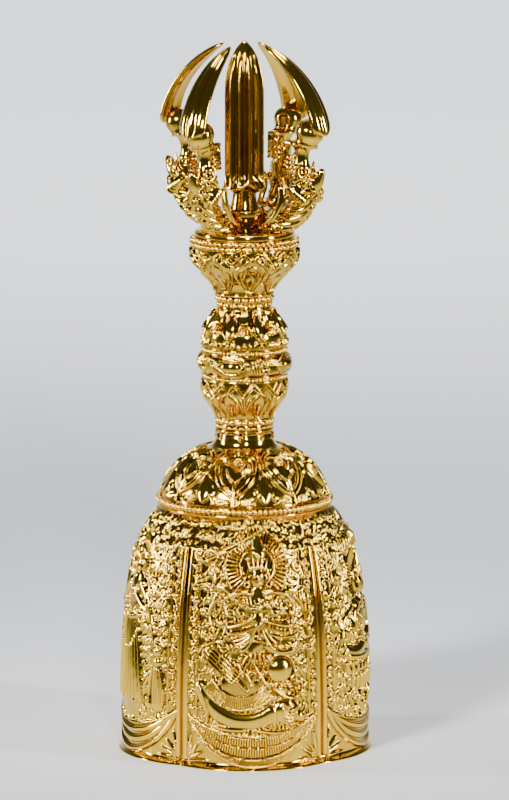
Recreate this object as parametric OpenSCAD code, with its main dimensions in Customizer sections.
// Tibetan bell (vajra-handled ghanta) in gilt brass.
// +Z is up, the mouth rim stands on z = 0 and the front faces -Y.
// The handle is a stack of castings drawn together by one tie rod. The rod's lower end carries the
// eye nut inside the crown, and the clapper hangs from that eye on one open link.

/* [Bell] */
// Height of the lobed bell wall, from the mouth to its top land
bell_h = 76; // [62:1:92]
// Radius over the lobes at the mouth rim
mouth_r = 40.5; // [37:0.5:50]
// Height of the plain band round the mouth
rim_h = 7.5; // [5:0.5:10]
// Radius over the lobes just above the plain band
body_r = 39.4; // [36:0.5:48]
// Radius over the lobes where the shoulder starts
shoulder_r = 34.2; // [32:0.2:38]
// Height of the sloping shoulder, measured down from the top land
shoulder_h = 9; // [6:0.5:11]
// Radius over the lobes at the top land
land_r = 28.4; // [27:0.2:30]
// Distance of each lobe's centre from the bell's axis
lobe_offset = 9.6; // [7:0.2:11]
// Wall between the valleys of the lobes and the round inside
bell_wall = 2.7; // [2:0.1:3.5]

/* [Crown] */
// Outer radius of the beaded ring on the shoulder
shoulder_ring_r = 27.6; // [26.5:0.2:29]
// Height of the beaded ring on the shoulder
shoulder_ring_h = 3; // [2.4:0.2:4]
// Radius of the dome's rounding
dome_round_r = 20; // [18:0.5:22]
// Distance of that rounding's centre from the axis
dome_round_offset = 8; // [7:0.25:9]
// Depth of that rounding's centre below the dome's foot
dome_round_drop = 5; // [4:0.25:6]
// Thickness of the dome
dome_wall = 3; // [2.4:0.1:3.6]
// Height of the dome
dome_h = 14.5; // [14:0.1:15]

/* [Handle] */
// Radius of the collar's foot
collar_foot_r = 12; // [10.5:0.25:12.25]
// Radius of the handle's three narrow places
waist_r = 8.8; // [8:0.2:10]
// Height of the collar
collar_h = 6.5; // [5:0.25:8]
// Height of the beaded ring over the collar
neck_ring_h = 3.5; // [3:0.1:4.2]
// Height of the two lotus cups next to the knop
cup_h = 12; // [10:0.5:14.5]
// Radius of those two cups
cup_r = 13.4; // [12.5:0.1:14.5]
// Height of each beaded band next to the knop
band_h = 1.8; // [1.4:0.1:2.2]
// Height of the knop
knop_h = 6.4; // [5.5:0.1:7.6]
// Radius of the knop
knop_r = 14.8; // [14.6:0.1:16]
// Height of the beaded waist ring
waist_ring_h = 5; // [4:0.1:6]
// Height of the top lotus bowl
bowl_h = 14; // [12:0.5:17]
// Radius of the top lotus bowl
bowl_r = 16.9; // [15.5:0.1:18]
// Height of the bowl's double beaded rim
bowl_rim_h = 3; // [2.4:0.1:3.6]

/* [Vajra] */
// Radius of the hub's foot, which the dragon heads stand on
hub_foot_r = 15.6; // [14:0.2:17]
// Thickness of the hub's foot
hub_foot_h = 2; // [1.6:0.1:2.4]
// Radius of the hub's bowl
hub_r = 8.6; // [7.6:0.1:9.2]
// Height of the hub's bowl over its foot
hub_h = 6; // [5:0.25:7]
// Length of the centre prong
centre_prong_l = 52.5; // [44:0.5:62]
// Radius over the centre prong's ribs
centre_prong_r = 6.3; // [5.5:0.1:7.5]
// Radius of the centre prong's neck
centre_neck_r = 3; // [2.5:0.1:3.6]
// Distance of a dragon head's middle from the axis
dragon_reach = 22; // [20:0.25:24]
// Radius of a dragon's scaly body
dragon_body_r = 3.7; // [3:0.1:4.2]
// Height of a dragon's open jaw over the hub's foot
dragon_h = 20; // [18:0.5:23]
// Radius of an outer prong's stem
stem_r = 2.1; // [1.8:0.1:2.4]
// Lean of the stem away from the axis, in degrees
stem_lean = 3; // [1:0.5:6]
// Length of the stem
stem_l = 14; // [13:0.25:16]
// Distance of an outer prong's heel from the axis
prong_reach = 30.5; // [29:0.25:33]
// Height of an outer prong's tip over its heel
prong_rise = 26; // [23:0.5:29]
// Half width of an outer prong's blade at its heel
prong_half_w = 4.4; // [3.6:0.1:4.8]
// Radius of the bulb at the blade's foot
prong_bulb_r = 4.6; // [4.2:0.1:5]
// Gap that the four tips keep from the axis
tip_gap = 7.6; // [7:0.1:10]

/* [Tie rod and clapper] */
// Radius of the tie rod
rod_r = 3; // [2.4:0.1:3.4]
// Running fit of the rod in the castings
rod_fit = 0.08; // [0.05:0.01:0.1]
// Thickness of the clamp washer
washer_h = 1; // [0.8:0.1:1.6]
// Radius of the clamp washer
washer_r = 7; // [6.5:0.1:7.6]
// Height of the eye nut's hexagon
nut_h = 5; // [4:0.25:6]
// Width of that hexagon across its flats
nut_flats = 10; // [9:0.1:11]
// Radius of the eye's ring, to the middle of its bar
eye_r = 2.6; // [2.4:0.1:3]
// Radius of the eye's bar
eye_bar = 0.9; // [0.7:0.05:1]
// Radius of the link's ring, to the middle of its bar
link_r = 3; // [2.8:0.1:3.4]
// Radius of the link's bar
link_bar = 0.7; // [0.6:0.05:0.8]
// Radius of the clapper's own eye, to the middle of its bar
tongue_eye_r = 2.3; // [2.2:0.1:2.8]
// Slack between two rings that hang in each other
ring_slack = 0.15; // [0.1:0.01:0.25]
// Radius of the clapper's shank
shank_r = 1.5; // [1.2:0.1:2]
// Radius of the clapper's ball
ball_r = 8; // [6.5:0.25:9.5]
// Height of the ball's lowest point over the table
ball_clear = 9; // [5:0.5:14]

/* [Hidden] */
$fn = 96;
fit_gap = 0.25;
lobes = 5;
lobe_step = 360 / lobes;
front_lobe = 274.5;
prongs = 4;
first_prong = 236;
bead_r = 1.2;

// Levels of the stack
ring_z = bell_h;
dome_z = ring_z + shoulder_ring_h;
collar_z = dome_z + dome_h;
neck_ring_z = collar_z + collar_h;
lower_cup_z = neck_ring_z + neck_ring_h;
lower_band_z = lower_cup_z + cup_h;
knop_z = lower_band_z + band_h;
upper_band_z = knop_z + knop_h;
upper_cup_z = upper_band_z + band_h;
waist_ring_z = upper_cup_z + cup_h;
bowl_z = waist_ring_z + waist_ring_h;
bowl_rim_z = bowl_z + bowl_h;
hub_z = bowl_rim_z + bowl_rim_h;
seat_z = hub_z + hub_foot_h;
centre_z = seat_z + hub_h;
top_z = centre_z + centre_prong_l;

// Levels under the crown
round_z = dome_z - dome_round_drop;
ceiling_z = round_z + dome_round_r - dome_wall;
nut_z = ceiling_z - washer_h - nut_h;
eye_sink = 0.3;
eye_z = nut_z + eye_sink - eye_r;
link_pivot_z = eye_z - eye_r;
link_z = link_pivot_z - (link_r - link_bar - eye_bar - ring_slack);
tongue_pivot_z = link_z - link_r;
tongue_eye_z = tongue_pivot_z - (tongue_eye_r - 2 * link_bar - ring_slack);
ball_z = ball_clear + ball_r;
rod_low_z = nut_z + 1;
rod_top_z = hub_z + hub_foot_h + 0.5 * hub_h;

PRONG_NAMES = [for (i = [1:prongs]) str("outer_prong_", i)];
DRAGON_NAMES = [for (i = [1:prongs]) str("dragon_head_", i)];

gilt = [0.90, 0.68, 0.25];
steel = [0.62, 0.62, 0.60];

// Points on an arc, from angle a to angle b in n steps
function arc(x, z, r, a, b, n) =
    [for (i = [0:n]) let (t = a + (b - a) * i / n) [x + r * cos(t), z + r * sin(t)]];

// Radius over the lobes at a height on the wall
shoulder_z = bell_h - shoulder_h;
wall_curve = 3.2;
function lobe_peak(z) = body_r - (body_r - shoulder_r) * pow(z / shoulder_z, wall_curve);

// Radius of the lobed outline at an angle from a lobe's middle, and its least, in the valleys
function lobed(peak, a) =
    lobe_offset * cos(a) + sqrt(pow(peak - lobe_offset, 2) - pow(lobe_offset * sin(a), 2));
function valley(peak) = lobed(peak, lobe_step / 2);

wall_steps = 8;
wall_start = rim_h + 2;
wall_levels = [for (i = [0:wall_steps]) wall_start + (shoulder_z - wall_start) * i / wall_steps];

// A closed skin over rings of points, each ring flat and counter-clockwise seen from beyond the last
module skin(rings) {
    sides = len(rings[0]);
    last = (len(rings) - 1) * sides;
    polyhedron(
        [for (ring = rings) for (p = ring) p],
        concat(
            [[for (j = [0:sides - 1]) j]],
            [[for (j = [0:sides - 1]) last + sides - 1 - j]],
            [for (k = [0:len(rings) - 2]) for (j = [0:sides - 1]) let (n = (j + 1) % sides)
                each [[k * sides + j, (k + 1) * sides + j, k * sides + n],
                      [k * sides + n, (k + 1) * sides + j, (k + 1) * sides + n]]]
        )
    );
}

// A ring or disc turned about the handle's axis, with the rod's hole through it
module turned(points) {
    difference() {
        rotate_extrude() polygon(points);
        cylinder(r = rod_r + rod_fit, h = 2 * top_z, center = true);
    }
}

// A beaded ring: a plain core with round rows on its edge
module beaded(z, h, r, rows) {
    row_h = h / rows;
    difference() {
        union() {
            translate([0, 0, z]) cylinder(r = r - row_h / 2, h = h);
            for (i = [0:rows - 1])
                translate([0, 0, z + row_h * (i + 0.5)])
                    rotate_extrude() translate([r - row_h / 2, 0]) circle(r = row_h / 2 - 0.02);
        }
        cylinder(r = rod_r + rod_fit, h = 2 * top_z, center = true);
    }
}

module bell_shell() {
    sides = 12 * lobes;
    side_step = 360 / sides;
    levels = concat(
        [[0, mouth_r], [rim_h, mouth_r]],
        [for (z = wall_levels) [z, lobe_peak(z)]],
        [[bell_h, land_r]]
    );
    inside = concat(
        [[0, -1], [valley(mouth_r) - bell_wall, -1]],
        [for (l = levels) [valley(l[1]) - bell_wall, l[0]]],
        [[valley(land_r) - bell_wall, bell_h + 1], [0, bell_h + 1]]
    );
    color(gilt)
    difference() {
        skin([for (l = levels) [for (j = [0:sides - 1])
            let (a = j * side_step, r = lobed(l[1], a % lobe_step - lobe_step / 2),
                 turn = front_lobe + lobe_step / 2 + a)
            [r * cos(turn), r * sin(turn), l[0]]]]);
        rotate_extrude() polygon(inside);
    }
}

module shoulder_bead_ring() {
    inner = valley(land_r) - bell_wall;
    color(gilt)
    rotate_extrude() {
        translate([inner, ring_z]) square([shoulder_ring_r - bead_r - inner, shoulder_ring_h]);
        translate([shoulder_ring_r - bead_r, ring_z + shoulder_ring_h / 2]) circle(r = bead_r);
    }
}

module lotus_dome() {
    foot = asin(dome_round_drop / dome_round_r);
    crown = asin((dome_h + dome_round_drop) / dome_round_r);
    inner_r = dome_round_r - dome_wall;
    inner_foot = asin(dome_round_drop / inner_r);
    color(gilt)
    turned(concat(
        arc(dome_round_offset, round_z, dome_round_r, foot, crown, 10),
        [[0, collar_z], [0, ceiling_z]],
        arc(dome_round_offset, round_z, inner_r, 90, inner_foot, 10)
    ));
}

module neck_collar() {
    flare_r = collar_foot_r - waist_r;
    color(gilt)
    turned(concat(
        [[0, collar_z], [collar_foot_r, collar_z]],
        arc(collar_foot_r, collar_z + 0.8 + flare_r, flare_r, 270, 180, 6),
        [[waist_r, neck_ring_z], [0, neck_ring_z]]
    ));
}

module neck_bead_ring() {
    color(gilt) beaded(neck_ring_z, neck_ring_h, waist_r + 0.6, 2);
}

// A lotus cup that opens upwards in an S, from its narrow foot at z to its upright lip
module cup(z, h, foot_r, lip_r, lip_share = 0.28) {
    swell = (1 - lip_share) * h;
    steps = 10;
    turned(concat(
        [[0, z]],
        [for (i = [0:steps])
            [foot_r + (lip_r - foot_r) * (1 - cos(180 * i / steps)) / 2, z + swell * i / steps]],
        [[lip_r, z + h], [0, z + h]]
    ));
}

module lower_lotus_cup() {
    color(gilt) cup(lower_cup_z, cup_h, waist_r, cup_r);
}

module lower_bead_band() {
    color(gilt) beaded(lower_band_z, band_h, cup_r + 0.1, 1);
}

module centre_knop() {
    edge_r = knop_h / 2;
    color(gilt)
    turned(concat(
        [[0, knop_z]],
        arc(knop_r - edge_r, knop_z + edge_r, edge_r, -90, 90, 12),
        [[0, upper_band_z]]
    ));
}

module upper_bead_band() {
    color(gilt) beaded(upper_band_z, band_h, cup_r + 0.1, 1);
}

module upper_lotus_cup() {
    color(gilt)
    translate([0, 0, upper_cup_z + waist_ring_z]) mirror([0, 0, 1])
        cup(upper_cup_z, cup_h, waist_r, cup_r);
}

module waist_bead_ring() {
    color(gilt) beaded(waist_ring_z, waist_ring_h, waist_r + 0.6, 3);
}

module top_lotus_bowl() {
    color(gilt) cup(bowl_z, bowl_h, waist_r, bowl_r, 0.14);
}

module bowl_bead_rim() {
    color(gilt) beaded(bowl_rim_z, bowl_rim_h, bowl_r + 0.2, 2);
}

module prong_hub() {
    neck_r = 0.8 * hub_r;
    color(gilt)
    difference() {
        rotate_extrude()
            polygon(concat(
                [[0, hub_z], [hub_foot_r, hub_z], [hub_foot_r, seat_z], [hub_r, seat_z]],
                arc(hub_r - hub_h / 2, seat_z + hub_h / 2, hub_h / 2, 0, 60, 5),
                [[neck_r, centre_z], [0, centre_z]]
            ));
        translate([0, 0, hub_z - 1])
            cylinder(r = rod_r + rod_fit, h = rod_top_z - hub_z + 1 + fit_gap);
    }
}

// The centre prong: a waisted foot, then a pointed head with twelve flutes
module centre_prong() {
    foot_h = 0.08 * centre_prong_l;
    head_z = centre_z + 0.17 * centre_prong_l;
    point_z = centre_z + 0.68 * centre_prong_l;
    flutes = 12;
    flute_r = 1.4;
    flute_depth = 0.6;
    color(gilt)
    difference() {
        rotate_extrude()
            polygon(concat(
                [[0, centre_z], [centre_neck_r + 2, centre_z],
                 [centre_neck_r + 0.6, centre_z + foot_h / 2], [centre_neck_r, centre_z + foot_h],
                 [centre_neck_r + 0.4, head_z], [centre_prong_r - 1.2, head_z + 0.6],
                 [centre_prong_r, head_z + 3]],
                [for (i = [0:7]) let (t = 90 * i / 8)
                    [centre_prong_r * cos(t) + 0.02, point_z + (top_z - point_z) * pow(i / 8, 1.1)]],
                [[0, top_z]]
            ));
        for (i = [0:flutes - 1])
            rotate(360 * (i + 0.5) / flutes)
                translate([centre_prong_r + flute_r - flute_depth, 0, head_z + 1.2])
                    cylinder(r = flute_r, h = centre_prong_l, $fn = 32);
    }
}

// A makara head facing outwards along +X: a rising body, a round skull and an upturned snout
module dragon() {
    bend_r = 12;
    bend_x = dragon_reach - bend_r;
    skull_z = seat_z + 0.72 * dragon_h;
    skull_r = dragon_body_r + 1.1;
    snout_z = seat_z + dragon_h;
    snout_lean = 35;
    snout_r = 3.4;
    snout_tip_r = 1.2;
    jaw_wall = 1.2;
    color(gilt)
    difference() {
        union() {
            intersection() {
                translate([bend_x, 0, seat_z + bend_r + dragon_body_r - 1])
                    rotate([90, 0, 0])
                        rotate_extrude()
                            translate([bend_r, 0]) circle(r = dragon_body_r);
                translate([bend_x, -skull_r, seat_z])
                    cube([2 * bend_r, 2 * skull_r, bend_r + dragon_body_r]);
            }
            translate([dragon_reach, 0, skull_z]) sphere(r = skull_r);
            translate([dragon_reach + 1, 0, skull_z]) rotate([0, snout_lean, 0])
                cylinder(r1 = snout_r, r2 = snout_tip_r, h = snout_z - skull_z + 1.6);
            translate([stem_foot_x, 0, skull_z])
                cylinder(r = stem_r + jaw_wall, h = snout_z - skull_z - 1);
        }
        stem_line(fit_gap);
    }
}

// The stem's cylinder, wider by grow, from its seat in the dragon's jaw
stem_foot_x = dragon_reach - 1.2;
stem_foot_z = seat_z + 0.8 * dragon_h;
module stem_line(grow) {
    translate([stem_foot_x, 0, stem_foot_z]) rotate([0, stem_lean, 0])
        translate([0, 0, -grow]) cylinder(r = stem_r + grow, h = stem_l + grow);
}

// The blade of an outer prong, as rings of six points between its inner edge and its back.
// Along the way from the one to the other the inner face is creased and the blade is widest at a share.
blade_rings = 16;
face_edge = 0.05;
face_crease = 0.12;
face_width = 0.7;
widest = 0.6;
stem_top_x = stem_foot_x + stem_l * sin(stem_lean);
stem_top_z = stem_foot_z + stem_l * cos(stem_lean);
heel_z = stem_top_z + 1.6;
back_shape = 1.21;
back_edge = 1.8;
crown_x = tip_gap - back_edge;
crown_angle = acos(pow(back_edge / (prong_reach - crown_x), 1 / back_shape));
inner_x = prong_reach - 4.4;
inner_bow = 4.6;
tip_share = 0.985;
tip_z = heel_z + prong_rise * pow(sin(crown_angle), back_shape);
function back_point(t) = let (a = crown_angle * t)
    [crown_x + (prong_reach - crown_x) * pow(cos(a), back_shape),
     heel_z + prong_rise * pow(sin(a), back_shape)];
function inner_point(t) =
    [inner_x + (tip_gap - inner_x) * t + inner_bow * sin(180 * t), heel_z + (tip_z - heel_z) * t];
function blade_half(t) = prong_half_w * pow(1 - pow(t, 2.2), 0.7);
function blade_ring(t) =
    let (o = back_point(t), i = inner_point(t), w = blade_half(t), f = face_width * w)
    [for (corner = [[1, 0], [widest, w], [face_edge, f], [face_crease, 0], [face_edge, -f], [widest, -w]])
        let (p = i + (o - i) * corner[0])
        [p[0], corner[1], p[1]]];

module blade() {
    skin([for (k = [0:blade_rings]) blade_ring(tip_share * k / blade_rings)]);
}

// The spoon-shaped ledge between stem and bulb, whose horn points at the axis, and the strap under it
module ledge() {
    ledge_h = 1.2;
    ledge_rim = 1.7;
    horn_w = 2;
    horn_reach = 6.6;
    strap_w = 3.4;
    strap_h = 7;
    strap_t = 1;
    ledge_z = stem_top_z - 2.4;
    horn_x = stem_top_x - horn_reach;
    translate([0, 0, ledge_z]) {
        hull() {
            translate([stem_top_x, 0, 0]) cylinder(r = stem_r + ledge_rim, h = ledge_h);
            translate([horn_x, -horn_w, 0]) cube([strap_t, 2 * horn_w, ledge_h]);
        }
        translate([horn_x + 0.3, -strap_w / 2, -strap_h]) cube([strap_t, strap_w, strap_h + ledge_h / 2]);
    }
}

module prong() {
    collar_h = 1.1;
    collar_step = 1.6;
    collar_start = 0.2 * dragon_h + 2.4;
    bulb_inset = 6;
    color(gilt)
    union() {
        stem_line(0);
        translate([stem_foot_x, 0, stem_foot_z]) rotate([0, stem_lean, 0])
            for (i = [0:1])
                translate([0, 0, collar_start + collar_step * i]) cylinder(r = stem_r + 0.7, h = collar_h);
        ledge();
        translate([prong_reach - bulb_inset, 0, heel_z]) sphere(r = prong_bulb_r);
        blade();
    }
}

module tie_rod() {
    color(steel)
    translate([0, 0, rod_low_z]) cylinder(r = rod_r, h = rod_top_z - rod_low_z);
}

module clamp_washer() {
    color(steel)
    translate([0, 0, ceiling_z - washer_h])
        difference() {
            cylinder(r = washer_r, h = washer_h);
            translate([0, 0, -1]) cylinder(r = rod_r + rod_fit, h = washer_h + 2);
        }
}

// A hanging ring in the XZ plane
module hanging_ring(r, bar) {
    rotate([90, 0, 0]) rotate_extrude() translate([r, 0]) circle(r = bar, $fn = 32);
}

module eye_nut() {
    color(steel)
    difference() {
        union() {
            translate([0, 0, nut_z]) cylinder(r = nut_flats / 2 / cos(30), h = nut_h, $fn = 6);
            translate([0, 0, eye_z]) hanging_ring(eye_r, eye_bar);
        }
        translate([0, 0, rod_low_z]) cylinder(r = rod_r + rod_fit, h = nut_h);
    }
}

module clapper_link() {
    color(steel)
    translate([0, 0, link_z]) rotate(90) hanging_ring(link_r, link_bar);
}

module clapper_shank() {
    shank_top = tongue_eye_z - tongue_eye_r;
    color(steel)
    union() {
        translate([0, 0, tongue_eye_z]) hanging_ring(tongue_eye_r, link_bar);
        translate([0, 0, ball_z]) cylinder(r = shank_r, h = shank_top - ball_z);
    }
}

module clapper_ball() {
    neck_h = 2.5;
    color(gilt)
    difference() {
        union() {
            translate([0, 0, ball_z]) sphere(r = ball_r);
            translate([0, 0, ball_z]) cylinder(r = shank_r + 1.6, h = ball_r + neck_h);
        }
        translate([0, 0, ball_z]) cylinder(r = shank_r + rod_fit, h = 2 * ball_r + neck_h);
    }
}

bell_shell();
shoulder_bead_ring();
lotus_dome();
neck_collar();
neck_bead_ring();
lower_lotus_cup();
lower_bead_band();
centre_knop();
upper_bead_band();
upper_lotus_cup();
waist_bead_ring();
top_lotus_bowl();
bowl_bead_rim();
prong_hub();
centre_prong();
for (i = [0:prongs - 1]) {
    rotate(first_prong + i * 360 / prongs) dragon();
    rotate(first_prong + i * 360 / prongs) prong();
}
tie_rod();
clamp_washer();
eye_nut();
clapper_link();
clapper_shank();
clapper_ball();
